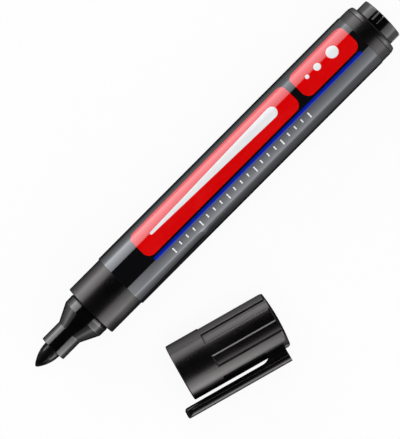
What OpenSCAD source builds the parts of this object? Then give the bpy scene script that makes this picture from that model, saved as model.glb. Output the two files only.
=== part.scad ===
// Permanent marker with a bullet nib, its cap taken off and laid beside it.
// The pen is built on its own axis from the plane where the cap's mouth seats, forward for the nose
// and backward for the barrel. The cap is built on its own axis from its mouth.
// Millimetres. Row frame: +X from the nib to the rear of the pen, +Z up, floor at Z = 0.

/* [Barrel] */
// Outside diameter of the barrel under the printed film
barrel_d = 16.2; // [14:0.1:20]
// Thickness of the barrel's wall
barrel_wall = 1.6; // [1.2:0.1:2.2]
// Length of the bare collar in front of the film
collar_len = 11.1; // [8:0.1:20]
// How far the collar lies below the rest of the barrel, on the radius
collar_step = 0.15; // [0.05:0.05:0.4]
// Bevel on the collar's front edge
collar_edge = 0.3; // [0.1:0.05:0.6]
// Length of the bare ring behind the film
ring_len = 4.7; // [3:0.1:8]
// Radius of the ring's rear edge
ring_round = 1.0; // [0.4:0.1:1.2]
// Number of ribs that carry the ink store
rib_count = 6; // [3:1:8]
// Width of a rib
rib_w = 0.8; // [0.5:0.1:1.2]
// Height of a rib above the bore
rib_h = 0.35; // [0.2:0.05:0.6]

/* [Printed film] */
// Length of the film along the barrel
film_len = 89.6; // [60:0.1:120]
// Thickness of the film
film_t = 0.13; // [0.08:0.01:0.3]

/* [Nose] */
// Diameter of the short cylinder that the cap grips
seat_d = 12.7; // [11:0.1:14]
// Length of that cylinder
seat_len = 2.9; // [2:0.1:5]
// Height of the snap bead on it
bead_h = 0.15; // [0.1:0.05:0.3]
// Radius of the bead's rounding
bead_round = 0.4; // [0.3:0.05:0.5]
// Distance of the bead from the collar
bead_at = 0.8; // [0.6:0.1:1.4]
// Length of the cone
cone_len = 5.0; // [3:0.1:8]
// Diameter of the nozzle
nozzle_d = 7.75; // [7:0.05:9]
// Length of the nozzle
nozzle_len = 6.25; // [4:0.05:9]
// Bevel on the nozzle's front edge
nozzle_edge = 0.25; // [0.1:0.05:0.5]
// Length of the spigot inside the collar
spigot_len = 9.0; // [6:0.1:14]
// Thickness of the walls inside the nose
nose_wall = 1.2; // [0.8:0.1:1.6]
// Number of air grooves along the nib
vent_count = 4; // [2:1:6]
// Width of an air groove
vent_w = 0.7; // [0.4:0.1:1]
// Depth of an air groove
vent_depth = 0.3; // [0.2:0.05:0.5]

/* [Nib] */
// Diameter of the nib's rod
nib_d = 5.1; // [4:0.1:6]
// How far the nib stands out of the nozzle
nib_reach = 6.4; // [4:0.1:9]
// Radius of its rounded tip
nib_tip = 0.55; // [0.3:0.05:1]
// How deep its tail sits in the ink store
nib_tail = 8.0; // [5:0.5:14]
// Bevel on the tail
tail_edge = 0.6; // [0.3:0.1:1]

/* [Ink store] */
// Thickness of the film round the fibre rod
wrap_t = 0.15; // [0.1:0.01:0.3]
// Room left at each end of the rod
store_room = 0.3; // [0.1:0.1:0.8]

/* [End plug] */
// Length of the plug's spigot in the barrel
plug_depth = 8.0; // [5:0.5:12]
// Thickness of the plug's walls and fins
plug_wall = 1.2; // [0.8:0.1:1.6]
// Diameter of the stud that shows
stud_d = 12.6; // [11:0.1:14]
// Length of the stud up to its rim
stud_len = 3.7; // [2:0.1:6]
// Height of the stud's dome
stud_dome = 0.4; // [0.2:0.05:0.8]
// Radius of the stud's rim
stud_round = 0.4; // [0.2:0.1:0.8]
// Number of grooves along the stud
groove_count = 4; // [2:1:8]
// Width of a groove
groove_w = 1.9; // [1:0.1:3]
// Depth of a groove
groove_depth = 0.4; // [0.2:0.05:0.6]
// Distance of the grooves from the barrel
groove_from = 0.9; // [0.4:0.1:1.5]
// Turn of the first groove from straight up
groove_turn = 12; // [0:1:45]

/* [Cap] */
// Outside diameter of the cap
cap_d = 16.1; // [15:0.1:18]
// Length of the plain skirt at the mouth
skirt_len = 9.6; // [6:0.1:14]
// Radius of the mouth's outer edge
mouth_round = 0.4; // [0.2:0.1:0.8]
// Radius of the closed end's edge
end_round = 0.9; // [0.4:0.1:1.4]
// Thickness of the closed end
end_t = 1.6; // [1.2:0.1:2.4]
// Height of the closed end's dome
end_dome = 0.5; // [0.2:0.05:1]
// Number of flutes
flute_count = 7; // [5:1:9]
// Depth of a flute
flute_depth = 0.3; // [0.15:0.05:0.5]
// Share of the circumference that the flutes take
flute_share = 0.5; // [0.3:0.05:0.7]

/* [Sealing cup] */
// Thickness of the cup's wall
cup_wall = 0.9; // [0.6:0.1:1.2]
// Room between the cone and the cup's lip when the cap is on
lip_room = 0.4; // [0.2:0.1:1]
// Room in front of the nib when the cap is on
tip_room = 2.0; // [1:0.1:4]
// Thickness of the cup's floor
cup_floor = 1.0; // [0.6:0.1:1.6]
// Length of the cup's root behind its floor
root_len = 4.0; // [3:0.1:7]
// Height of the socket that holds the root
socket_h = 2.5; // [1.5:0.1:3]
// Thickness of that socket's wall
socket_wall = 0.5; // [0.3:0.05:0.6]

/* [Clip] */
// Width of the clip
clip_w = 8.6; // [6:0.1:10]
// Thickness of the clip
clip_t = 2.64; // [2:0.02:3.5]
// Gap between clip and cap
clip_gap = 0.91; // [0.5:0.01:1.5]
// Radius of the clip's outer edges
clip_round = 0.9; // [0.4:0.1:1.2]
// Thickness of the narrower web under the clip's face
web_t = 0.86; // [0.4:0.02:1]
// How far the web lies inside the clip's edge
web_step = 0.3; // [0.1:0.05:0.8]
// Length of the bridge from clip to cap
bridge_len = 5.3; // [4:0.1:8]
// Distance of the bridge from the closed end's rim
bridge_back = 1.65; // [1:0.05:3]
// Radius of the curve that closes the gap
gap_curve = 3.6; // [2:0.1:6]
// How far the clip reaches past the mouth
clip_past = 3.75; // [0:0.05:6]
// Radius of the lead-in at the clip's free end
clip_lead = 1.0; // [0.5:0.1:1.4]
// Corner radius of the clip's free end, seen on its face
clip_corner = 2.0; // [1:0.1:3]

/* [Cap's place] */
// How far the cap's mouth lies behind the seat plane
cap_along = 4.95; // [0:0.05:60]
// Distance of the mouth's centre from the pen's axis
cap_aside = 28.3; // [22:0.1:60]
// Turn of the cap away from the pen's axis
cap_yaw = 15.5; // [0:0.5:25]

/* [Fits] */
// Gap of a push fit, on the radius
push_gap = 0.02; // [0.01:0.01:0.04]
// Gap of a sliding fit, on the radius
slide_gap = 0.05; // [0.03:0.01:0.08]

/* [Hidden] */
$fn = 96;
// How far a cut runs past the face that it opens
past = 1;
// How far joined shapes reach into each other
sink = 0.1;
barrel_r = barrel_d / 2;
bore_r = barrel_r - barrel_wall;
collar_r = barrel_r - collar_step;
barrel_len = collar_len + film_len + ring_len;
film_in = barrel_r + push_gap;
film_r = film_in + film_t;
spigot_r = bore_r - push_gap;
seat_r = seat_d / 2;
nozzle_r = nozzle_d / 2;
cone_at = seat_len + cone_len;
nose_len = cone_at + nozzle_len;
nib_r = nib_d / 2;
nib_bore = nib_r + slide_gap;
guide_r = nib_bore + vent_depth + nose_wall;
chamber_r = min(seat_r, spigot_r) - nose_wall;
store_from = spigot_len + store_room;
store_to = barrel_len - plug_depth - store_room;
wrap_r = bore_r - rib_h - push_gap;
store_r = wrap_r - wrap_t - push_gap;
stud_r = stud_d / 2;
cap_r = cap_d / 2;
cap_bore = seat_r + slide_gap;
cap_depth = nose_len + nib_reach + tip_room + cup_floor + root_len;
cap_len = cap_depth + end_t;
cup_in = nozzle_r + slide_gap;
cup_r = cup_in + cup_wall;
cup_from = cone_at + lip_room;
cup_to = nose_len + nib_reach + tip_room;
socket_in = cup_r + push_gap;
flute_pitch = 360 / flute_count;
flute_span = flute_pitch * flute_share;
clip_in = cap_r + clip_gap;
clip_out = clip_in + clip_t;
clip_to = cap_len - bridge_back;
bridge_from = clip_to - bridge_len;
// The row's box is centred over its origin: the pen gives its length, pen and clip its width.
nose_reach = nose_len + nib_reach;
rear_reach = barrel_len + stud_len + stud_dome;
seat_x = (nose_reach - rear_reach) / 2;
side_reach = cap_aside + clip_to * sin(cap_yaw) + clip_out * cos(cap_yaw);
pen_y = (side_reach - film_r) / 2;

// The pen's own axis, from the seat plane to the rear.
module on_pen() {
    translate([seat_x, pen_y, film_r])
        rotate([0, 90, 0])
            children();
}

// The cap's own axis, from its mouth to its closed end, with the clip on the far side from the pen.
module on_cap() {
    translate([seat_x + cap_along, pen_y - cap_aside, cap_r])
        rotate([0, 0, -cap_yaw])
            rotate([0, 90, 0])
                rotate([0, 0, -90])
                    children();
}

// What a rounded outer corner of a turned profile loses; up is 1 for a rear corner, -1 for a front one.
module corner_loss(r, z, round, up) {
    difference() {
        translate([r - round, up > 0 ? z - round : z - past])
            square([round + past, round + past]);
        translate([r - round, z - up * round])
            circle(round);
    }
}

// A shallow dome on the axis, over a flat end at z.
module dome_profile(r, z, rise) {
    dome_r = (r * r + rise * rise) / (2 * rise);
    intersection() {
        translate([0, z + rise - dome_r])
            circle(dome_r, $fn = 360);
        translate([0, z - sink])
            square([r, rise + sink + past]);
    }
}

module barrel() {
    color("#161616") on_pen() {
        rotate_extrude() difference() {
            polygon([[bore_r, 0], [collar_r - collar_edge, 0], [collar_r, collar_edge], [collar_r, collar_len],
                [barrel_r, collar_len], [barrel_r, barrel_len], [bore_r, barrel_len]]);
            corner_loss(barrel_r, barrel_len, ring_round, 1);
        }
        // The ribs end where the two spigots stop.
        for (i = [0 : rib_count - 1])
            rotate([0, 0, i * 360 / rib_count])
                translate([bore_r - rib_h, -rib_w / 2, spigot_len])
                    cube([rib_h + barrel_wall / 2, rib_w, barrel_len - plug_depth - spigot_len]);
    }
}

module printed_film() {
    color("#c41218") on_pen()
        rotate_extrude()
            translate([film_in, collar_len])
                square([film_t, film_len]);
}

module nib_holder() {
    color("#101010") on_pen() difference() {
        rotate_extrude() difference() {
            union() {
                polygon([[0, -nose_len], [nozzle_r - nozzle_edge, -nose_len], [nozzle_r, nozzle_edge - nose_len],
                    [nozzle_r, -cone_at], [seat_r, -seat_len], [seat_r, 0], [spigot_r, 0],
                    [spigot_r, spigot_len], [0, spigot_len]]);
                translate([seat_r + bead_h - bead_round, -bead_at])
                    circle(bead_round);
            }
            // The chamber between the nib's guide tube and the spigot's wall.
            translate([guide_r, -seat_len])
                square([chamber_r - guide_r, seat_len + spigot_len + past]);
            translate([0, spigot_len - nose_wall])
                square([chamber_r, nose_wall + past]);
            translate([0, -nose_len - past])
                square([nib_bore, nose_len + spigot_len + 2 * past]);
        }
        for (i = [0 : vent_count - 1])
            rotate([0, 0, (i + 0.5) * 360 / vent_count])
                translate([0, -vent_w / 2, -nose_len - past])
                    cube([nib_bore + vent_depth, vent_w, nose_len + spigot_len + 2 * past]);
    }
}

module nib() {
    // The bullet is an arc that runs smoothly into the rod, closed by a small ball at the tip.
    arc = ((nib_reach - nib_tip) * (nib_reach - nib_tip) / (nib_r - nib_tip) + nib_tip + nib_r) / 2;
    ball_z = nib_tip - nose_reach;
    meet = (nose_len + ball_z) * arc / (arc - nib_tip);
    tail_z = store_from + nib_tail;
    color("#1b1b1d") on_pen() rotate_extrude() {
        intersection() {
            translate([nib_r - arc, -nose_len])
                circle(arc, $fn = 360);
            translate([0, -nose_len + meet])
                square([nib_r + past, sink - meet]);
        }
        intersection() {
            translate([0, ball_z])
                circle(nib_tip);
            translate([0, -nose_reach - past])
                square([nib_tip + past, 2 * nib_tip + 2 * past]);
        }
        polygon([[0, -nose_len], [nib_r, -nose_len], [nib_r, tail_z - tail_edge],
            [nib_r - tail_edge, tail_z], [0, tail_z]]);
    }
}

module ink_store() {
    color("#2a2a30") on_pen()
        rotate_extrude() difference() {
            translate([0, store_from])
                square([store_r, store_to - store_from]);
            translate([0, store_from - past])
                square([nib_bore, nib_tail + store_room + past]);
        }
}

module store_wrap() {
    color("#d9dadc") on_pen()
        rotate_extrude()
            translate([wrap_r - wrap_t, store_from])
                square([wrap_t, store_to - store_from]);
}

module end_plug() {
    hollow_r = min(spigot_r, stud_r - groove_depth) - plug_wall;
    rim_z = barrel_len + stud_len;
    color("#101010") on_pen() {
        difference() {
            rotate_extrude() {
                difference() {
                    polygon([[0, barrel_len - plug_depth], [spigot_r, barrel_len - plug_depth],
                        [spigot_r, barrel_len], [stud_r, barrel_len], [stud_r, rim_z], [0, rim_z]]);
                    corner_loss(stud_r, rim_z, stud_round, 1);
                    translate([0, barrel_len - plug_depth - past])
                        square([hollow_r, plug_depth + stud_len - plug_wall + past]);
                }
                dome_profile(stud_r - stud_round, rim_z, stud_dome);
            }
            for (i = [0 : groove_count - 1])
                rotate([0, 0, 180 - groove_turn + i * 360 / groove_count])
                    translate([stud_r - groove_depth, -groove_w / 2, barrel_len + groove_from])
                        cube([groove_depth + past, groove_w, stud_len + stud_dome]);
        }
        // Cross fins that back the ink store.
        for (a = [0, 90])
            rotate([0, 0, a])
                translate([-hollow_r - plug_wall / 2, -plug_wall / 2, barrel_len - plug_depth])
                    cube([2 * hollow_r + plug_wall, plug_wall, plug_depth + stud_len - plug_wall / 2]);
    }
}

// The clip's outline along the cap, with its bridge and the curve that closes the gap.
module clip_side() {
    // The curve meets the bridge just above the cap, so that their faces cross and don't only touch.
    run = sqrt(gap_curve * gap_curve - pow(gap_curve - clip_gap + sink, 2));
    difference() {
        union() {
            translate([clip_in, -clip_past])
                square([clip_t, clip_to + clip_past]);
            translate([0, bridge_from])
                square([clip_in + sink, bridge_len]);
            difference() {
                translate([cap_r, bridge_from - run])
                    square([clip_gap + sink, run + sink]);
                translate([clip_in - gap_curve, bridge_from - run])
                    circle(gap_curve);
            }
        }
        // The rounded lead-in on the inner side of the free end.
        difference() {
            translate([clip_in - past, -clip_past - past])
                square([clip_lead + past, clip_lead + past]);
            translate([clip_in + clip_lead, clip_lead - clip_past])
                circle(clip_lead);
        }
    }
}

// The clip cut across: a plate with rounded outer edges on a slightly narrower web.
module clip_section() {
    half = clip_w / 2;
    translate([0, web_step - half])
        square([clip_in + web_t, clip_w - 2 * web_step]);
    translate([clip_in + web_t, -half])
        square([clip_t - web_t - clip_round, clip_w]);
    translate([clip_out - clip_round - sink, clip_round - half])
        square([clip_round + sink, clip_w - 2 * clip_round]);
    for (side = [-1, 1])
        translate([clip_out - clip_round, side * (half - clip_round)])
            circle(clip_round);
}

// The clip's face, with rounded corners at the free end.
module clip_face() {
    half = clip_w / 2;
    translate([-clip_past + clip_corner, -half])
        square([clip_to + clip_past - clip_corner, clip_w]);
    translate([-clip_past, clip_corner - half])
        square([clip_corner + sink, clip_w - 2 * clip_corner]);
    for (side = [-1, 1])
        translate([clip_corner - clip_past, side * (half - clip_corner)])
            circle(clip_corner);
}

module clip() {
    intersection() {
        rotate([90, 0, 0])
            translate([0, 0, -clip_w])
                linear_extrude(2 * clip_w)
                    clip_side();
        translate([0, 0, -clip_past - past])
            linear_extrude(clip_to + clip_past + 2 * past)
                clip_section();
        rotate([0, -90, 0])
            translate([0, 0, -clip_out - past])
                linear_extrude(clip_out + past)
                    clip_face();
    }
}

module cap_shell() {
    color("#171616") on_cap() difference() {
        union() {
            difference() {
                rotate_extrude() {
                    difference() {
                        square([cap_r, cap_len]);
                        corner_loss(cap_r, cap_len, end_round, 1);
                        corner_loss(cap_r, 0, mouth_round, -1);
                    }
                    dome_profile(cap_r - end_round, cap_len, end_dome);
                }
                // A land lies under the clip, with the flutes evenly on both sides of it.
                for (i = [0 : flute_count - 1])
                    rotate([0, 0, (i + 0.5) * flute_pitch - flute_span / 2])
                        rotate_extrude(angle = flute_span)
                            translate([cap_r - flute_depth, skirt_len])
                                square([flute_depth + past, cap_len]);
            }
            clip();
        }
        // The hollow, with the groove for the snap bead and the socket for the sealing cup.
        rotate_extrude() {
            difference() {
                translate([0, -past])
                    square([cap_bore, cap_depth + past]);
                translate([socket_in, cap_depth - socket_h])
                    square([socket_wall, socket_h + past]);
            }
            translate([cap_bore + bead_h - bead_round, bead_at])
                circle(bead_round);
        }
    }
}

module sealing_cup() {
    color("#3a3a3c") on_cap()
        rotate_extrude() difference() {
            translate([0, cup_from])
                square([cup_r, cap_depth - cup_from]);
            translate([0, cup_from - past])
                square([cup_in, cup_to - cup_from + past]);
            // The lead-in that spreads the lip over the nozzle.
            polygon([[cup_in, cup_from], [cup_in + cup_wall / 2, cup_from], [cup_in, cup_from + cup_wall]]);
            translate([0, cup_to + cup_floor])
                square([cup_in, root_len + past]);
        }
}

barrel();
printed_film();
nib_holder();
nib();
ink_store();
store_wrap();
end_plug();
cap_shell();
sealing_cup();
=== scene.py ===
import math

import bmesh
import bpy
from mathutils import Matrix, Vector


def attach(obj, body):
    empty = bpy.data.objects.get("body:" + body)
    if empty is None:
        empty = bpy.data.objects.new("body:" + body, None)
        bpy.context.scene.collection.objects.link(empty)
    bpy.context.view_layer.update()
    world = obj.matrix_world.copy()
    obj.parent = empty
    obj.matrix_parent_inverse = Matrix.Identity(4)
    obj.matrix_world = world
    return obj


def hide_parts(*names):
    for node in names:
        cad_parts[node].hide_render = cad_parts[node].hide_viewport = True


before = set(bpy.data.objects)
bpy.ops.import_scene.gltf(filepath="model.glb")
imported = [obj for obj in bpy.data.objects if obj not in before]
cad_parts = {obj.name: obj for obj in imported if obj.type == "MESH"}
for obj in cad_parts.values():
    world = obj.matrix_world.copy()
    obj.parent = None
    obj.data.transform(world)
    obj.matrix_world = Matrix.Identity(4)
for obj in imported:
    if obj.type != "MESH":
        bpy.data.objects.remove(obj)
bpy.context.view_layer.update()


# Barrel: the polypropylene tube that the rest of the pen is pushed into or wound on, injection moulded with
# a fine spark-eroded skin. Its front end shows as the collar, and its rear end as the ring, which has a fine
# line round it and a bevelled rear edge.
mm = 0.001
weld = 0.0005 * mm
pen_at = Vector((-44.475, 19.2886, 8.25)) * mm
barrel_wall = [
    (0, 6.5, 0.1),
    (0, 7.95, 0.25),
    (11.1, 7.95, 0),
    (11.1, 8.1, 0),
    (103.74, 8.1, 0.03),
    (103.92, 7.94, 0.03),
    (104.1, 8.1, 0.03),
    (105.4, 7.68, 0.42),
    (105.4, 6.5, 0.15),
]
barrel_steps = 192
satin_black = (0.0010, 0.0009, 0.0009, 1)
satin_tint = (1, 0.94, 0.95, 1)


def pick(piece, kind, test):
    """In edit mode, selects only the verts, edges or faces whose middle, in millimetres, passes the test."""
    bpy.ops.mesh.select_mode(type={"verts": "VERT", "edges": "EDGE", "faces": "FACE"}[kind])
    bpy.ops.mesh.select_all(action="DESELECT")
    mesh = bmesh.from_edit_mesh(piece.data)
    for item in getattr(mesh, kind):
        corners = [item.co] if kind == "verts" else [v.co for v in item.verts]
        if test(sum(corners, Vector()) / len(corners) / mm):
            item.select_set(True)
    mesh.select_flush_mode()
    bmesh.update_edit_mesh(piece.data)


def turn(name, outline, steps):
    """A body turned on the X axis from rows of (along, radius, corner rounding) in millimetres.
    The outline closes on itself, or runs from the axis back to the axis."""
    bpy.ops.object.select_all(action="DESELECT")
    bpy.ops.mesh.primitive_plane_add(size=mm)
    piece = bpy.context.object
    piece.name = name
    bpy.ops.object.mode_set(mode="EDIT")
    bpy.ops.mesh.select_mode(type="VERT")
    bpy.ops.mesh.merge(type="CENTER")
    points = [Vector((along, radius, 0)) * mm for along, radius, rounding in outline]
    bpy.ops.transform.translate(value=points[0])
    following = points[1:] + points[:1] if outline[0][1] > 0 else points[1:]
    for here, there in zip(points, following):
        bpy.ops.mesh.extrude_vertices_move(TRANSFORM_OT_translate={"value": there - here})
    bpy.ops.mesh.select_all(action="SELECT")
    bpy.ops.mesh.remove_doubles(threshold=weld)
    for along, radius, rounding in outline:
        if rounding:
            pick(piece, "verts", lambda p: math.dist((p.x, p.y), (along, radius)) < 0.001)
            bpy.ops.mesh.bevel(offset=rounding * mm, segments=6, affect="VERTICES")
    bpy.ops.mesh.select_all(action="SELECT")
    bpy.ops.mesh.spin(steps=steps, angle=2 * math.pi, center=(0, 0, 0), axis=(1, 0, 0))
    bpy.ops.mesh.select_all(action="SELECT")
    bpy.ops.mesh.remove_doubles(threshold=weld)
    bpy.ops.mesh.normals_make_consistent(inside=False)
    bpy.ops.object.mode_set(mode="OBJECT")
    return piece


def settle(piece, at, roll=0.0, yaw=0.0):
    """Brings a finished piece to its place in the row frame and puts that place into its mesh."""
    smooth_below = math.radians(32)
    bpy.ops.object.select_all(action="DESELECT")
    piece.select_set(True)
    bpy.context.view_layer.objects.active = piece
    piece.rotation_euler = (roll, 0, yaw)
    piece.location = at
    bpy.ops.object.transform_apply(location=True, rotation=True, scale=True)
    bpy.ops.object.shade_smooth_by_angle(angle=smooth_below)


def feed(tree, node, inputs):
    """Gives each input of a shader node its value, or links it to the output that is given for it."""
    for socket, value in inputs.items():
        if isinstance(value, bpy.types.NodeSocket):
            tree.links.new(value, node.inputs[socket])
        else:
            node.inputs[socket].default_value = value


def add_node(tree, kind, inputs, **settings):
    """A new shader node with its settings and inputs."""
    node = tree.nodes.new("ShaderNode" + kind)
    for name, value in settings.items():
        setattr(node, name, value)
    feed(tree, node, inputs)
    return node


def ranged(tree, value, start, end, low=0, high=1, interpolation="LINEAR"):
    """A value that runs from low to high as the given one runs from start to end."""
    inputs = {"Value": value, "From Min": start, "From Max": end, "To Min": low, "To Max": high}
    return add_node(tree, "MapRange", inputs, interpolation_type=interpolation).outputs["Result"]


def combined(tree, operation, *values):
    """The result of a Math node."""
    return add_node(tree, "Math", dict(enumerate(values)), operation=operation).outputs["Value"]


def moulded_skin_group():
    """Shader node group for moulded plastic: the mould's fine grain, cloudy gloss and hairline scuffs."""
    grains_per_metre = 3600
    clouds_per_metre = 160
    scuffs_per_metre = (60, 1500, 1500)
    group = bpy.data.node_groups.new("moulded_skin", "ShaderNodeTree")
    group.interface.new_socket(name="Color", in_out="INPUT", socket_type="NodeSocketColor")
    for name in ("Roughness", "Spread", "Mottle"):
        group.interface.new_socket(name=name, in_out="INPUT", socket_type="NodeSocketFloat")
    group.interface.new_socket(name="Color", in_out="OUTPUT", socket_type="NodeSocketColor")
    for name in ("Roughness", "Height"):
        group.interface.new_socket(name=name, in_out="OUTPUT", socket_type="NodeSocketFloat")
    given, result = group.nodes.new("NodeGroupInput").outputs, group.nodes.new("NodeGroupOutput")
    place = add_node(group, "TexCoord", {}).outputs["Object"]
    stretched = add_node(group, "Mapping", {"Vector": place, "Scale": scuffs_per_metre}).outputs["Vector"]
    grain = add_node(group, "TexNoise", {"Vector": place, "Scale": grains_per_metre, "Detail": 2})
    cloud = add_node(group, "TexNoise", {"Vector": place, "Scale": clouds_per_metre, "Detail": 4})
    scuff = add_node(group, "TexNoise", {"Vector": stretched, "Scale": 1, "Detail": 3})
    clouded = ranged(group, cloud.outputs["Fac"], 0.3, 0.7, -1, 1)
    hairlines = ranged(group, scuff.outputs["Fac"], 0.66, 0.74)
    scuffed = combined(group, "ADD", clouded, hairlines)
    gloss = combined(group, "MULTIPLY_ADD", scuffed, given["Spread"], given["Roughness"])
    mottle = {"Factor": given["Mottle"], "A": given["Color"], "B": ranged(group, scuffed, -1, 2, 0.8, 1.6)}
    mottled = add_node(group, "Mix", mottle, data_type="RGBA", blend_type="MULTIPLY").outputs["Result"]
    feed(group, result, {"Color": mottled, "Roughness": gloss, "Height": grain.outputs["Fac"]})
    return group


moulded_skin = moulded_skin_group()


def plastic(name, colour, roughness, spread, grain_depth, ior, mottle=1.0, tint=(1, 1, 1, 1)):
    """A moulded plastic: colour, gloss and grain from the moulded skin; grain depth in millimetres."""
    material = bpy.data.materials.new(name)
    material.use_nodes = True
    tree = material.node_tree
    look = {"Color": colour, "Roughness": roughness, "Spread": spread, "Mottle": mottle}
    skin = add_node(tree, "Group", look, node_tree=moulded_skin).outputs
    bump = add_node(tree, "Bump", {"Distance": grain_depth * mm, "Height": skin["Height"]})
    surface = {"Base Color": skin["Color"], "Roughness": skin["Roughness"], "Normal": bump.outputs["Normal"]}
    feed(tree, tree.nodes["Principled BSDF"], {**surface, "IOR": ior, "Specular Tint": tint})
    return material


satin_plastic = plastic(
    "satin_black_plastic",
    satin_black,
    roughness=0.29,
    spread=0.03,
    grain_depth=0.006,
    ior=1.82,
    tint=satin_tint,
)

barrel = turn("barrel_tube", barrel_wall, barrel_steps)
settle(barrel, pen_at)
barrel.data.materials.append(satin_plastic)
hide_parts("barrel")
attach(barrel, "pen")


# Ink store: a rod of pressed polyester fibre that holds the ink like a wick, in a thin clear film that keeps
# it together. Both slide into the barrel before its ends are closed, and can't be seen from outside.
store_black = (0.012, 0.012, 0.018, 1)
wrap_white = (0.62, 0.63, 0.66, 1)


def fibre_streaks_group():
    """Shader node group for fibre drawn along X: streaks of tone and height, at a given width."""
    drawn_out = (0.12, 1, 1)
    group = bpy.data.node_groups.new("fibre_streaks", "ShaderNodeTree")
    for name, kind in (("Color", "NodeSocketColor"), ("Fibres per metre", "NodeSocketFloat")):
        group.interface.new_socket(name=name, in_out="INPUT", socket_type=kind)
    group.interface.new_socket(name="Color", in_out="OUTPUT", socket_type="NodeSocketColor")
    for name in ("Roughness", "Wetness", "Height"):
        group.interface.new_socket(name=name, in_out="OUTPUT", socket_type="NodeSocketFloat")
    given, result = group.nodes.new("NodeGroupInput").outputs, group.nodes.new("NodeGroupOutput")
    place = add_node(group, "TexCoord", {}).outputs["Object"]
    stretched = add_node(group, "Mapping", {"Vector": place, "Scale": drawn_out}).outputs["Vector"]
    fibres = {"Vector": stretched, "Scale": given["Fibres per metre"], "Detail": 3}
    streak = add_node(group, "TexNoise", fibres).outputs["Fac"]
    shade = {"Factor": 1, "A": given["Color"], "B": ranged(group, streak, 0.3, 0.7, 0.5, 2.2)}
    shaded = add_node(group, "Mix", shade, data_type="RGBA", blend_type="MULTIPLY").outputs["Result"]
    gloss = ranged(group, streak, 0.3, 0.7, 0.5, 0.3)
    wet = ranged(group, streak, 0.5, 0.6)
    feed(group, result, {"Color": shaded, "Roughness": gloss, "Wetness": wet, "Height": streak})
    return group


fibre_streaks = fibre_streaks_group()


def fibre(name, colour, fibres, depth, specular):
    """Ink-soaked fibre: streaks along the pen, so many to the metre, depth in millimetres."""
    material = bpy.data.materials.new(name)
    material.use_nodes = True
    tree = material.node_tree
    look = {"Color": colour, "Fibres per metre": fibres}
    streaks = add_node(tree, "Group", look, node_tree=fibre_streaks).outputs
    bump = add_node(tree, "Bump", {"Distance": depth * mm, "Height": streaks["Height"]})
    surface = {
        "Base Color": streaks["Color"],
        "Roughness": streaks["Roughness"],
        "Coat Weight": streaks["Wetness"],
        "Normal": bump.outputs["Normal"],
        "Specular IOR Level": specular,
        "Coat Roughness": 0.15,
    }
    feed(tree, tree.nodes["Principled BSDF"], surface)
    return material


def dress(node, material):
    """Gives a CAD node its material."""
    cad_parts[node].data.materials.clear()
    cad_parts[node].data.materials.append(material)


dress("ink_store", fibre("store_fibre", store_black, fibres=2600, depth=0.05, specular=0.5))
store_film = plastic("store_film", wrap_white, roughness=0.3, spread=0.05, grain_depth=0.002, ior=1.5)
dress("store_wrap", store_film)


# Nose: a gloss polypropylene moulding pushed into the front of the barrel. It has the short cylinder with a
# snap bead that the cap grips, the cone, and the nozzle, whose bore has four air grooves along the nib.
nose_wall = [
    (-14.15, 2.6, 0.1),
    (-14.15, 3.875, 0.2),
    (-7.9, 3.875, 0.12),
    (-2.9, 6.35, 0.15),
    (-1.2, 6.35, 0.2),
    (-0.8, 6.41, 0.25),
    (-0.4, 6.35, 0.1),
    (-0.03, 6.13, 0),
    (0, 6.13, 0),
    (0, 6.48, 0),
    (9, 6.48, 0.2),
    (9, 5.15, 0),
    (-2.9, 5.15, 0),
    (-2.9, 4.1, 0),
    (7.8, 4.1, 0),
    (7.8, 2.6, 0.1),
]
nose_steps = 168
vent_middles = (45, 135, 225, 315)
vent_half = 3.5 * 360 / nose_steps
vent_along = (-14.2, 7.7)
vent_band = (2.55, 2.65)
vent_floor = 2.9
gloss_black = (0.0016, 0.0014, 0.0014, 1)


def sink(piece, middles, half_span, along, band, floor, flank=0.0):
    """Sinks panels of a turned body to a new radius: the faces within half a span of the middles, in degrees
    from +Y, between two places along the axis and with their radius in the band. The floor of each panel is
    narrower than its top by the flank, in degrees, on both sides."""
    bpy.ops.object.select_all(action="DESELECT")
    piece.select_set(True)
    bpy.context.view_layer.objects.active = piece
    bpy.ops.object.mode_set(mode="EDIT")

    def off_middle(p):
        angle = math.degrees(math.atan2(p.z, p.y))
        return min(((angle - middle + 180) % 360 - 180 for middle in middles), key=abs)

    def on_panel(p):
        inside = abs(off_middle(p)) < half_span
        return inside and along[0] < p.x < along[1] and band[0] < math.hypot(p.y, p.z) < band[1]

    pick(piece, "faces", on_panel)
    bpy.ops.mesh.extrude_region_move(TRANSFORM_OT_translate={"value": (0, 0, 0)})
    mesh = bmesh.from_edit_mesh(piece.data)
    for v in mesh.verts:
        if v.select:
            off, angle = off_middle(v.co), math.atan2(v.co.z, v.co.y)
            if abs(off) > half_span - 0.1:
                angle -= math.copysign(math.radians(flank), off)
            v.co.y, v.co.z = floor * mm * math.cos(angle), floor * mm * math.sin(angle)
    bmesh.update_edit_mesh(piece.data)
    bpy.ops.mesh.select_all(action="SELECT")
    bpy.ops.mesh.remove_doubles(threshold=weld)
    bpy.ops.mesh.dissolve_degenerate(threshold=weld)
    bpy.ops.mesh.normals_make_consistent(inside=False)
    bpy.ops.object.mode_set(mode="OBJECT")


gloss_plastic = plastic(
    "gloss_black_plastic",
    gloss_black,
    roughness=0.1,
    spread=0.02,
    grain_depth=0.0012,
    ior=1.9,
)

nose = turn("nose_piece", nose_wall, nose_steps)
sink(nose, vent_middles, vent_half, vent_along, vent_band, vent_floor)
settle(nose, pen_at)
nose.data.materials.append(gloss_plastic)
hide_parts("nib_holder")
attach(nose, "pen")


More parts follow.
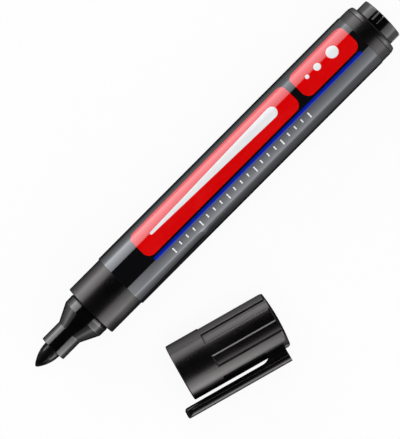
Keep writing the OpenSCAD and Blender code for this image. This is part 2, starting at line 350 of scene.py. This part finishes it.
# Nib: a rod of bonded acrylic fibre, ground to a bullet point and soaked with black ink. It is held only by
# friction in the nose, with its tail in the ink store, so that a worn one can be pulled out and replaced.
nib_r = 2.55
nib_tail = 17.3
tail_round = 0.5
nib_front = -14.15
nib_reach = 6.4
nib_tip = 0.55
nib_steps = 128
flank_steps = 24
tip_steps = 8
nib_black = (0.0016, 0.0016, 0.0020, 1)

rise = nib_reach - nib_tip
arc_r = (rise * rise / (nib_r - nib_tip) + nib_tip + nib_r) / 2
meet = math.asin(rise / (arc_r - nib_tip))
nib_outline = [(nib_tail, 0, 0), (nib_tail, nib_r, tail_round)]
for i in range(flank_steps + 1):
    angle = meet * i / flank_steps
    nib_outline.append((nib_front - arc_r * math.sin(angle), nib_r - arc_r + arc_r * math.cos(angle), 0))
for i in range(1, tip_steps + 1):
    angle = meet + (math.pi / 2 - meet) * i / tip_steps
    tip_r = 0 if i == tip_steps else nib_tip * math.cos(angle)
    nib_outline.append((nib_front - rise - nib_tip * math.sin(angle), tip_r, 0))

nib = turn("nib_rod", nib_outline, nib_steps)
settle(nib, pen_at)
nib.data.materials.append(fibre("nib_fibre", nib_black, fibres=1500, depth=0.05, specular=0.1))
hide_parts("nib")
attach(nib, "nib")


# End plug: a gloss polypropylene moulding pushed into the rear of the barrel. A hollow spigot holds it there;
# outside, a stud with a slightly domed end shows, cut by four grooves that take a tool.
stud_r = 6.3
neck_r = 6.0
stud_end = 109.1
stud_round = 0.4
stud_dome = 0.4
plug_steps = 80
groove_middles = (0, 90, 180, 270)
groove_from = 106.3
groove_floor = 5.9
groove_half = 2 * 360 / plug_steps
groove_flank = 3.6
groove_turn = 8.6


def round_row(end, inner_r, rounding, angle):
    """One outline row of the rounding between a turned side, at angle 0, and its end."""
    return end - rounding * (1 - math.sin(angle)), inner_r + rounding * math.cos(angle), 0


def dome_rows(end, rim_r, height):
    """The outline rows of a slightly domed end, from its rim to the axis."""
    steps = 8
    arc = (rim_r * rim_r + height * height) / (2 * height)
    radii = [rim_r * (steps - i) / steps for i in range(1, steps + 1)]
    return [(end + height - arc + math.sqrt(arc**2 - radius**2), radius, 0) for radius in radii]


plug_outline = [
    (107.9, 0, 0),
    (107.9, 4.7, 0.2),
    (97.4, 4.7, 0),
    (97.4, 6.48, 0.3),
    (105.4, 6.48, 0),
    (105.4, neck_r, 0),
    (105.43, neck_r, 0),
    (105.62, stud_r, 0.05),
    (groove_from, stud_r, 0),
]
for i in range(9):
    plug_outline.append(round_row(stud_end, stud_r - stud_round, stud_round, math.pi / 2 * i / 8))
plug_outline += dome_rows(stud_end, stud_r - stud_round, stud_dome)

plug = turn("rear_plug", plug_outline, plug_steps)
groove_along, groove_band = (groove_from, stud_end + 0.01), (groove_floor, stud_r + 0.01)
sink(plug, groove_middles, groove_half, groove_along, groove_band, groove_floor, groove_flank)
settle(plug, pen_at, roll=math.radians(90 - groove_turn))
plug.data.materials.append(gloss_plastic)
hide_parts("end_plug")
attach(plug, "pen")


# Printed film: a thin polypropylene film, printed flat, lacquered and wound tightly round the barrel between
# collar and ring. Its ends lap over each other on the side that faces away from the print.
film_r = 8.25
film_wall = [(11.1, 8.12, 0), (11.1, film_r, 0.12), (100.7, film_r, 0.12), (100.7, 8.12, 0)]
film_steps = 240
film_black = (0.0034, 0.0034, 0.0040, 1)
ink_red = (0.68, 0.0004, 0.0006, 1)
ink_white = (0.74, 0.75, 0.76, 1)
ink_blue = (0.001, 0.012, 0.34, 1)
lacquer_tint = (0.9, 0.93, 1, 1)
lap_along = (11.2, 100.6)
lap_side = (-20.5, -15.5)
lap_t = 0.03
ink_t = 0.012
field_side = (-1.3, 7.65)
fields = ((20.6, 77.4), (79.6, 99.2))
field_round = 2.2
stroke_ends = ((25.5, 0.4), (72.0, 1.75))
stroke_round = 0.98
dots = ((83.6, 0.6), (87.3, 1.05), (92.8, 1.75))
tick_count = 21
tick_from = 27.0
tick_step = 2.5
tick_half = 0.17
tick_side = (-4.9, -3.7)
long_tick_side = (-5.6, -3.7)
rule_side = (-3.05, -1.95)
rule_inset = 1
rule_round = 0.24


def lacquered(name, colour, roughness, ior=2.2):
    """Ink or film under the same clear lacquer: a slightly uneven tone and flow, and a cool gloss."""
    return plastic(name, colour, roughness, 0.015, 0.0004, ior, mottle=0.12, tint=lacquer_tint)


def flat_patch(name, x, y):
    """A flat rectangle on the unrolled film, in millimetres: x along the pen, y round it."""
    bpy.ops.object.select_all(action="DESELECT")
    bpy.ops.mesh.primitive_plane_add(size=mm, location=Vector((sum(x) / 2, sum(y) / 2, 0)) * mm)
    patch = bpy.context.object
    patch.name = name
    patch.scale = (x[1] - x[0], y[1] - y[0], 1)
    bpy.ops.object.transform_apply(location=True, rotation=True, scale=True)
    return patch


def round_corners(patch, rounding):
    """Rounds all corners of a flat patch."""
    bpy.ops.object.select_all(action="DESELECT")
    bpy.context.view_layer.objects.active = patch
    bpy.ops.object.mode_set(mode="EDIT")
    bpy.ops.mesh.select_all(action="SELECT")
    bpy.ops.mesh.bevel(offset=rounding * mm, segments=8, affect="VERTICES")
    bpy.ops.object.mode_set(mode="OBJECT")


def joined(name, patches):
    """One piece of several flat patches, for prints that take the same ink."""
    bpy.ops.object.select_all(action="DESELECT")
    for patch in patches:
        patch.select_set(True)
    bpy.context.view_layer.objects.active = patches[0]
    bpy.ops.object.join()
    patches[0].name = name
    return patches[0]


def wind_on(patch, thickness, material):
    """Cuts a flat print into narrow strips, gives it its thickness and lays it round the film."""
    strip_angle = math.radians(1.5)
    bpy.ops.object.mode_set(mode="EDIT")
    sides = [v.co.y for v in bmesh.from_edit_mesh(patch.data).verts]
    strip = film_r * mm * strip_angle
    for i in range(math.ceil(min(sides) / strip), math.ceil(max(sides) / strip)):
        bpy.ops.mesh.select_all(action="SELECT")
        bpy.ops.mesh.bisect(plane_co=(0, i * strip, 0), plane_no=(0, 1, 0))
    bpy.ops.mesh.select_all(action="SELECT")
    bpy.ops.mesh.normals_make_consistent(inside=False)
    bpy.ops.mesh.extrude_region_move(TRANSFORM_OT_translate={"value": (0, 0, 2 * thickness * mm)})
    bpy.ops.mesh.select_all(action="SELECT")
    bpy.ops.mesh.normals_make_consistent(inside=False)
    mesh = bmesh.from_edit_mesh(patch.data)
    for v in mesh.verts:
        angle, radius = v.co.y / (film_r * mm), (film_r - thickness) * mm + v.co.z
        v.co.y, v.co.z = radius * math.sin(angle), radius * math.cos(angle)
    bmesh.update_edit_mesh(patch.data)
    bpy.ops.object.mode_set(mode="OBJECT")
    settle(patch, pen_at)
    patch.data.materials.append(material)
    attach(patch, "pen")


film = turn("film_tube", film_wall, film_steps)
settle(film, pen_at)
film.data.materials.append(lacquered("black_film", film_black, roughness=0.06))
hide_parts("printed_film")
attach(film, "pen")

lap = flat_patch("film_lap", lap_along, lap_side)
wind_on(lap, lap_t, film.data.materials[0])

red_fields = [flat_patch("red_field", x, field_side) for x in fields]
for field in red_fields:
    round_corners(field, field_round)
wind_on(joined("print_red", red_fields), ink_t, lacquered("red_ink", ink_red, roughness=0.07))

middle = sum(field_side) / 2
stroke = flat_patch("stroke", (stroke_ends[0][0], stroke_ends[1][0]), (middle - 1, middle + 1))
bpy.ops.object.mode_set(mode="EDIT")
for along, half in stroke_ends:
    pick(stroke, "verts", lambda p: abs(p.x - along) < 0.1)
    bpy.ops.transform.resize(value=(1, half, 1), center_override=Vector((along, middle, 0)) * mm)
for along, half in stroke_ends:
    pick(stroke, "verts", lambda p: abs(p.x - along) < 0.1)
    bpy.ops.mesh.bevel(offset=stroke_round * half * mm, segments=8, affect="VERTICES")
bpy.ops.object.mode_set(mode="OBJECT")
marks = [stroke]
for along, radius in dots:
    bpy.ops.object.select_all(action="DESELECT")
    bpy.ops.mesh.primitive_circle_add(vertices=64, radius=radius * mm, fill_type="NGON")
    settle(bpy.context.object, Vector((along, middle, 0)) * mm)
    marks.append(bpy.context.object)
white_print = lacquered("white_ink", ink_white, roughness=0.09, ior=1.8)
wind_on(joined("print_white", marks), 2 * ink_t, white_print)

ticks = []
for i in range(tick_count):
    along = tick_from + tick_step * i
    side = long_tick_side if i % 4 == 0 else tick_side
    ticks.append(flat_patch("tick", (along - tick_half, along + tick_half), side))
wind_on(joined("print_ticks", ticks), ink_t, white_print)

rule = flat_patch("print_blue", (fields[0][0] + rule_inset, fields[1][1] - rule_inset), rule_side)
round_corners(rule, rule_round)
wind_on(rule, ink_t, lacquered("blue_ink", ink_blue, roughness=0.07))


# Cap: a satin polypropylene moulding with a plain skirt, seven shallow flutes for the grip and a domed end.
# A groove inside the mouth snaps over the nose's bead. It lies beside the pen, turned away from it.
cap_at = Vector((-39.525, -9.0114, 8.05)) * mm
cap_yaw = math.radians(-15.5)
cap_r = 8.05
cap_end = 29.15
end_round = 0.9
end_dome = 0.5
skirt_len = 9.6
flute_count = 7
flute_pitch = 360 / flute_count
flute_half = flute_pitch / 4
flute_floor = 7.65
flute_slope = 0.4
flute_flank = 2.9
flute_turn = -1.5
rib_round = 0.1
cap_steps = 112

end_r = cap_r - end_round
run_out = math.acos(1 - (cap_r - flute_floor) / end_round)
cap_outline = [
    (27.55, 0, 0),
    (27.55, 4.845, 0),
    (25.05, 4.845, 0.08),
    (25.05, 5.345, 0.08),
    (27.55, 5.345, 0),
    (27.55, 6.4, 0.3),
    (1.112, 6.4, 0),
    (0.95, 6.52, 0.06),
    (0.65, 6.52, 0.06),
    (0.488, 6.4, 0),
    (0, 6.4, 0.12),
    (0, cap_r, 0.4),
    (skirt_len, cap_r, 0),
]
for i in range(5):
    cap_outline.append(round_row(cap_end, end_r, end_round, run_out * i / 4))
for i in range(1, 5):
    cap_outline.append(round_row(cap_end, end_r, end_round, run_out + (math.pi / 2 - run_out) * i / 4))
cap_outline += dome_rows(cap_end, end_r, end_dome)

cap = turn("cap_body", cap_outline, cap_steps)
flute_middles = [180 + (i + 0.5) * flute_pitch for i in range(flute_count)]
flute_along, flute_band = (skirt_len, cap_end), (flute_floor, cap_r + 0.01)
sink(cap, flute_middles, flute_half, flute_along, flute_band, flute_floor, flute_flank)


def on_flute_start(p):
    return abs(p.x - skirt_len) < 0.01 and abs(math.hypot(p.y, p.z) - flute_floor) < 0.01


def on_rib_edge(p):
    angle = (math.degrees(math.atan2(p.z, p.y)) - 180) % (2 * flute_half)
    on_line = abs(angle - flute_half) < 0.3
    return on_line and p.x > skirt_len and math.hypot(p.y, p.z) > flute_floor + 0.1


bpy.ops.object.mode_set(mode="EDIT")
pick(cap, "verts", on_flute_start)
bpy.ops.transform.translate(value=(flute_slope * mm, 0, 0))
pick(cap, "edges", on_rib_edge)
bpy.ops.mesh.bevel(offset=rib_round * mm, segments=4, affect="EDGES", clamp_overlap=True)
bpy.ops.object.mode_set(mode="OBJECT")
settle(cap, cap_at, roll=math.radians(flute_turn), yaw=cap_yaw)
cap.data.materials.append(satin_plastic)
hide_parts("cap_shell")
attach(cap, "cap")


# Pocket clip: moulded in one with the cap. A plate with rounded edges stands off the cap on a narrower web,
# which curves down into a bridge at the closed end; its free end has a lead-in for cloth.
clip_from, clip_to = -3.75, 27.5
plate_in, plate_out = 9.56, 11.6
plate_half = 4.3
plate_round = 1.62
end_share = 0.23
inner_share = 0.17
corner_r = 2.0
web_step = 0.3
flush = web_step - 0.02
web_in = 8.96
lead_in = 0.8
lead_in_before = -1.7
bridge_from = 22.2
bridge_in = 6.6
gap_curve = 3.6
gap_drop = 0.81
curve_from = bridge_from - math.sqrt(gap_curve**2 - (gap_curve - gap_drop) ** 2)
curve_steps = 10
edge_round = 0.1
sharp_from = math.radians(50)
sort_point = (0.31, 0.17, 0.23)

bpy.ops.object.select_all(action="DESELECT")
bpy.ops.mesh.primitive_cube_add(size=mm)
clip = bpy.context.object
clip.name = "pocket_clip"
clip.scale = (clip_to - clip_from, plate_out - plate_in, 2 * plate_half)
settle(clip, Vector(((clip_from + clip_to) / 2, -(plate_in + plate_out) / 2, 0)) * mm)
bpy.ops.object.mode_set(mode="EDIT")
pick(clip, "edges", lambda p: abs(p.x - clip_from) < 0.01 and abs(abs(p.z) - plate_half) < 0.01)
bpy.ops.mesh.bevel(offset=corner_r * mm, segments=10, affect="EDGES")
pick(clip, "faces", lambda p: abs(p.y + plate_in) < 0.01)
bpy.ops.mesh.inset(thickness=web_step * mm, depth=0)
mesh = bmesh.from_edit_mesh(clip.data)
for v in mesh.verts:
    if v.select and v.co.x > 0:
        v.co.x += flush * mm
    elif v.select:
        v.co.x -= flush * max(0, (clip_from + corner_r) * mm - v.co.x) / (corner_r - web_step)
bpy.ops.mesh.extrude_region_move(TRANSFORM_OT_translate={"value": (0, (plate_in - web_in) * mm, 0)})
mesh = bmesh.from_edit_mesh(clip.data)
rounding = mesh.edges.layers.float.new("bevel_weight_edge")
for edge in mesh.edges:
    place = (edge.verts[0].co + edge.verts[1].co) / 2 / mm
    if place.x > clip_to - 0.01:
        continue
    if abs(place.y + plate_out) < 0.01:
        edge[rounding] = end_share + (1 - end_share) * min(1, (place.x - clip_from) / corner_r)
    elif abs(place.y + plate_in) < 0.01 and abs(place.z) > plate_half - 0.01:
        edge[rounding] = inner_share
bpy.ops.object.mode_set(mode="OBJECT")
bevel = clip.modifiers.new("outer_edges", "BEVEL")
bevel.limit_method = "WEIGHT"
bevel.width = plate_round * mm
bevel.segments = 7
bpy.ops.object.modifier_apply(modifier=bevel.name)


def on_lead_in(p):
    inside_web = abs(p.z) < plate_half - web_step - 0.01
    return inside_web and abs(p.y + web_in) < 0.01 and p.x < lead_in_before


bpy.ops.object.mode_set(mode="EDIT")
pick(clip, "edges", on_lead_in)
bpy.ops.mesh.bevel(offset=lead_in * mm, segments=6, affect="EDGES", clamp_overlap=True)
cuts = [curve_from + (bridge_from - curve_from) * i / curve_steps for i in range(curve_steps + 1)]
for along in cuts:
    bpy.ops.mesh.select_all(action="SELECT")
    bpy.ops.mesh.bisect(plane_co=(along * mm, 0, 0), plane_no=(1, 0, 0))
for along in cuts[1:]:
    drop = gap_curve - math.sqrt(gap_curve**2 - (along - curve_from) ** 2)
    pick(clip, "verts", lambda p: abs(p.x - along) < 0.01 and abs(p.y + web_in) < 0.01)
    bpy.ops.transform.translate(value=(0, drop * mm, 0))
pick(clip, "faces", lambda p: p.x > bridge_from and p.y > -web_in - 0.01)
bpy.ops.mesh.extrude_region_move(TRANSFORM_OT_translate={"value": (0, 0.5 * mm, 0)})
bpy.ops.transform.resize(value=(1, 0, 1), center_override=(0, -bridge_in * mm, 0))

# Bisect leaves its new corners in an order that changes from run to run. They are put in a fixed one, by
# their distance from a point, so that the bevel and the merge after it always come out the same.
bpy.ops.mesh.select_all(action="SELECT")
bpy.context.scene.cursor.location = sort_point
bpy.ops.mesh.sort_elements(type="CURSOR_DISTANCE", elements={"VERT", "EDGE", "FACE"})
bpy.context.scene.cursor.location = (0, 0, 0)

bpy.ops.mesh.select_mode(type="EDGE")
bpy.ops.mesh.select_all(action="DESELECT")
bpy.ops.mesh.edges_select_sharp(sharpness=sharp_from)
bpy.ops.mesh.bevel(offset=edge_round * mm, segments=2, affect="EDGES", clamp_overlap=True)
bpy.ops.mesh.select_all(action="SELECT")
bpy.ops.mesh.remove_doubles(threshold=weld)
bpy.ops.mesh.normals_make_consistent(inside=False)
bpy.ops.object.mode_set(mode="OBJECT")
settle(clip, cap_at, yaw=cap_yaw)
clip.data.materials.append(satin_plastic)
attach(clip, "cap")


# Sealing cup: a soft polyethylene liner pushed into a socket in the cap's end. Its lip closes on the nozzle,
# so that the nib doesn't dry out. Only its front edge can be seen, deep in the cap's mouth.
liner_grey = (0.035, 0.035, 0.037, 1)
liner_plastic = plastic("liner_plastic", liner_grey, roughness=0.42, spread=0.05, grain_depth=0.004, ior=1.5)
dress("sealing_cup", liner_plastic)


# Stage: a plain pale floor with a slight polish and a long-lens camera straight above it. Two long softboxes
# stand along both sides of the pen under a dark ceiling, so that the black pieces show clear bands. Two small
# cards of light fill the gap between pen and cap, and an even overhead lamp lights the printed colours.
floor_white = (0.8, 0.8, 0.8, 1)
floor_size = 6
contact_reach = 0.035
open_floor = (0.76, 0.99)
mirrored_level = 0.46
bright_way = (0.5, 0.87, 0)
bright_across = (-0.04, 0.04)
dim_share = 0.1
white_share = 0.92
polish_ior = 1.7
polish_roughness = 0.15

bpy.ops.object.select_all(action="DESELECT")
bpy.ops.mesh.primitive_plane_add(size=floor_size)
floor = bpy.context.object
floor.name = "studio_floor"
paper = bpy.data.materials.new("floor_paper")
paper.use_nodes = True
paper.cycles.emission_sampling = "NONE"
tree = paper.node_tree
matt = tree.nodes["Principled BSDF"]
feed(tree, matt, {"Base Color": floor_white, "Roughness": 0.9, "Specular IOR Level": 0})
seen = add_node(tree, "LightPath", {}).outputs
mirrored = combined(tree, "MAXIMUM", seen["Is Glossy Ray"], seen["Is Transmission Ray"])

# Seen in reflections, the floor is a white glow, not a lit surface. A painted shadow, following ambient
# occlusion, darkens it near the objects.
open_sky = add_node(tree, "AmbientOcclusion", {"Distance": contact_reach}, samples=16).outputs["AO"]
painted_shadow = ranged(tree, open_sky, *open_floor, high=mirrored_level, interpolation="SMOOTHSTEP")
# Painted light: the reflected glow is also brighter towards one side of the floor and dimmer towards the
# other.
spot = add_node(tree, "NewGeometry", {}).outputs["Position"]
painted_bright_side = add_node(tree, "VectorMath", {0: spot, 1: bright_way}, operation="DOT_PRODUCT").outputs["Value"]
mirrored_painted_light = combined(tree, "MULTIPLY", painted_shadow, ranged(tree, painted_bright_side, *bright_across, low=dim_share))
brightness = combined(tree, "MAXIMUM", seen["Is Camera Ray"], mirrored_painted_light)
white = add_node(tree, "Emission", {"Strength": brightness}).outputs["Emission"]
camera_white = combined(tree, "MULTIPLY", seen["Is Camera Ray"], white_share)
whiteness = combined(tree, "MAXIMUM", camera_white, mirrored)
blend = add_node(tree, "MixShader", {"Fac": whiteness, 1: matt.outputs["BSDF"], 2: white}).outputs["Shader"]

grazing = add_node(tree, "Fresnel", {"IOR": polish_ior}).outputs["Fac"]
gleam = add_node(tree, "BsdfGlossy", {"Roughness": polish_roughness}).outputs["BSDF"]
polish = combined(tree, "MULTIPLY", mirrored, grazing)
polished = add_node(tree, "MixShader", {"Fac": polish, 1: blend, 2: gleam}).outputs["Shader"]
feed(tree, tree.nodes["Material Output"], {"Surface": polished})
floor.data.materials.append(paper)

horizon_rise = (0.02, 0.4)
horizon_level = 0.25
ceiling_level = 0.004
world = bpy.data.worlds.new("studio")
bpy.context.scene.world = world
world.use_nodes = True
tree = world.node_tree
direction = add_node(tree, "TexCoord", {}).outputs["Generated"]
height = add_node(tree, "SeparateXYZ", {"Vector": direction}).outputs["Z"]
fade = ranged(tree, height, *horizon_rise, horizon_level, ceiling_level, interpolation="SMOOTHSTEP")
seen = add_node(tree, "LightPath", {}).outputs
backdrop = combined(tree, "MAXIMUM", seen["Is Camera Ray"], fade)
feed(tree, tree.nodes["Background"], {"Color": (1, 1, 1, 1), "Strength": backdrop})


def softbox(name, foot, facing, length, top, rise_levels, run_levels):
    """A softbox that stands upright on the floor. Its foot is the middle of its lower edge, and it faces +Y,
    turned by the given angle. The levels are its radiances, from its lower to its upper edge, and the shares
    of them from its left end to its right, seen from behind it."""
    lamp = bpy.data.lights.new(name, "AREA")
    lamp.shape = "RECTANGLE"
    lamp.size, lamp.size_y = length, top
    lamp.energy = 4 * length * top
    lamp.use_nodes = True
    tree = lamp.node_tree
    place = add_node(tree, "NewGeometry", {}).outputs["Parametric"]
    across = add_node(tree, "SeparateXYZ", {"Vector": place}).outputs
    glows = []
    for axis, levels in (("X", run_levels), ("Y", rise_levels)):
        ramp = add_node(tree, "ValToRGB", {"Fac": across[axis]})
        while len(ramp.color_ramp.elements) < len(levels):
            ramp.color_ramp.elements.new(0.5)
        for stop, (share, level) in zip(ramp.color_ramp.elements, levels):
            stop.position, stop.color = share, (level, level, level, 1)
        glows.append(ramp.outputs["Color"])
    feed(tree, tree.nodes["Emission"], {"Strength": combined(tree, "MULTIPLY", *glows)})
    box = bpy.data.objects.new(name, lamp)
    bpy.context.scene.collection.objects.link(box)
    box.location = (foot[0], foot[1], top / 2)
    box.rotation_euler = (math.pi / 2, 0, facing)
    box.visible_camera = False


box_away = 0.55
box_len = 1.8
left_top, right_top = 0.51, 0.73
left_rise = ((0, 2.5), (1, 1.0))
right_rise = ((0, 1.75), (1, 0.45))
left_run = (
    (0.2, 0.05),
    (0.28, 1.3),
    (0.32, 2.0),
    (0.355, 1.9),
    (0.39, 0.6),
    (0.43, 0.62),
    (0.5, 0.7),
    (0.55, 1.0),
    (0.6, 1.0),
    (0.85, 0.15),
)
right_run = (
    (0.19, 0.12),
    (0.36, 1.6),
    (0.405, 1.55),
    (0.445, 0.72),
    (0.5, 0.82),
    (0.56, 0.65),
    (0.61, 0.68),
    (0.645, 1.5),
    (0.7, 1.5),
    (0.735, 1.2),
    (0.79, 0.05),
)
softbox("softbox_left", (0, pen_at.y + box_away), math.pi, box_len, left_top, left_rise, left_run)
softbox("softbox_right", (0, pen_at.y - box_away), 0, box_len, right_top, right_rise, right_run)

card_len, card_top = 0.039, 0.017
card_along = 13 * mm
card_aside = 9.2 * mm
pen_card_rise = ((0.07, 0.05), (0.43, 0.37), (0.66, 0.5), (0.83, 1.0), (0.92, 1.0), (1, 0))
pen_card_run = ((0, 0), (0.1, 1), (0.89, 1), (0.96, 0))
cap_card_rise = ((0.29, 0), (0.44, 0.07), (0.56, 0.25), (0.65, 0.45), (0.74, 0.65), (0.82, 0.3), (0.91, 0))
cap_card_run = ((0.03, 0), (0.09, 1), (0.9, 1), (1, 0))
cap_axis = Vector((math.cos(cap_yaw), math.sin(cap_yaw)))
cap_side = Vector((-math.sin(cap_yaw), math.cos(cap_yaw)))
card_foot = cap_at.xy + cap_axis * card_along + cap_side * card_aside
softbox("card_to_pen", card_foot, cap_yaw, card_len, card_top, pen_card_rise, pen_card_run)
softbox("card_to_cap", card_foot, cap_yaw + math.pi, card_len, card_top, cap_card_rise, cap_card_run)

overhead_size = 2
overhead_level = 1.5
overhead_height = 1.5
overhead = bpy.data.lights.new("overhead", "AREA")
overhead.shape = "SQUARE"
overhead.size = overhead_size
overhead.energy = 4 * overhead_size**2 * overhead_level
overhead_lamp = bpy.data.objects.new("overhead", overhead)
bpy.context.scene.collection.objects.link(overhead_lamp)
overhead_lamp.location = (0, 0, overhead_height)
overhead_lamp.visible_camera = False
overhead_lamp.visible_glossy = False

view_middle = (-0.007077, 0.01589)
view_height = 0.1157
view_turn = math.radians(-45.1)
camera = bpy.data.objects.new("camera", bpy.data.cameras.new("camera"))
bpy.context.scene.collection.objects.link(camera)
camera.data.lens = 300
camera.data.sensor_width = 36
camera.location = (*view_middle, pen_at.z + view_height * camera.data.lens / camera.data.sensor_width)
camera.rotation_euler = (0, 0, view_turn)
bpy.context.scene.camera = camera
bpy.context.scene.view_settings.view_transform = "Standard"
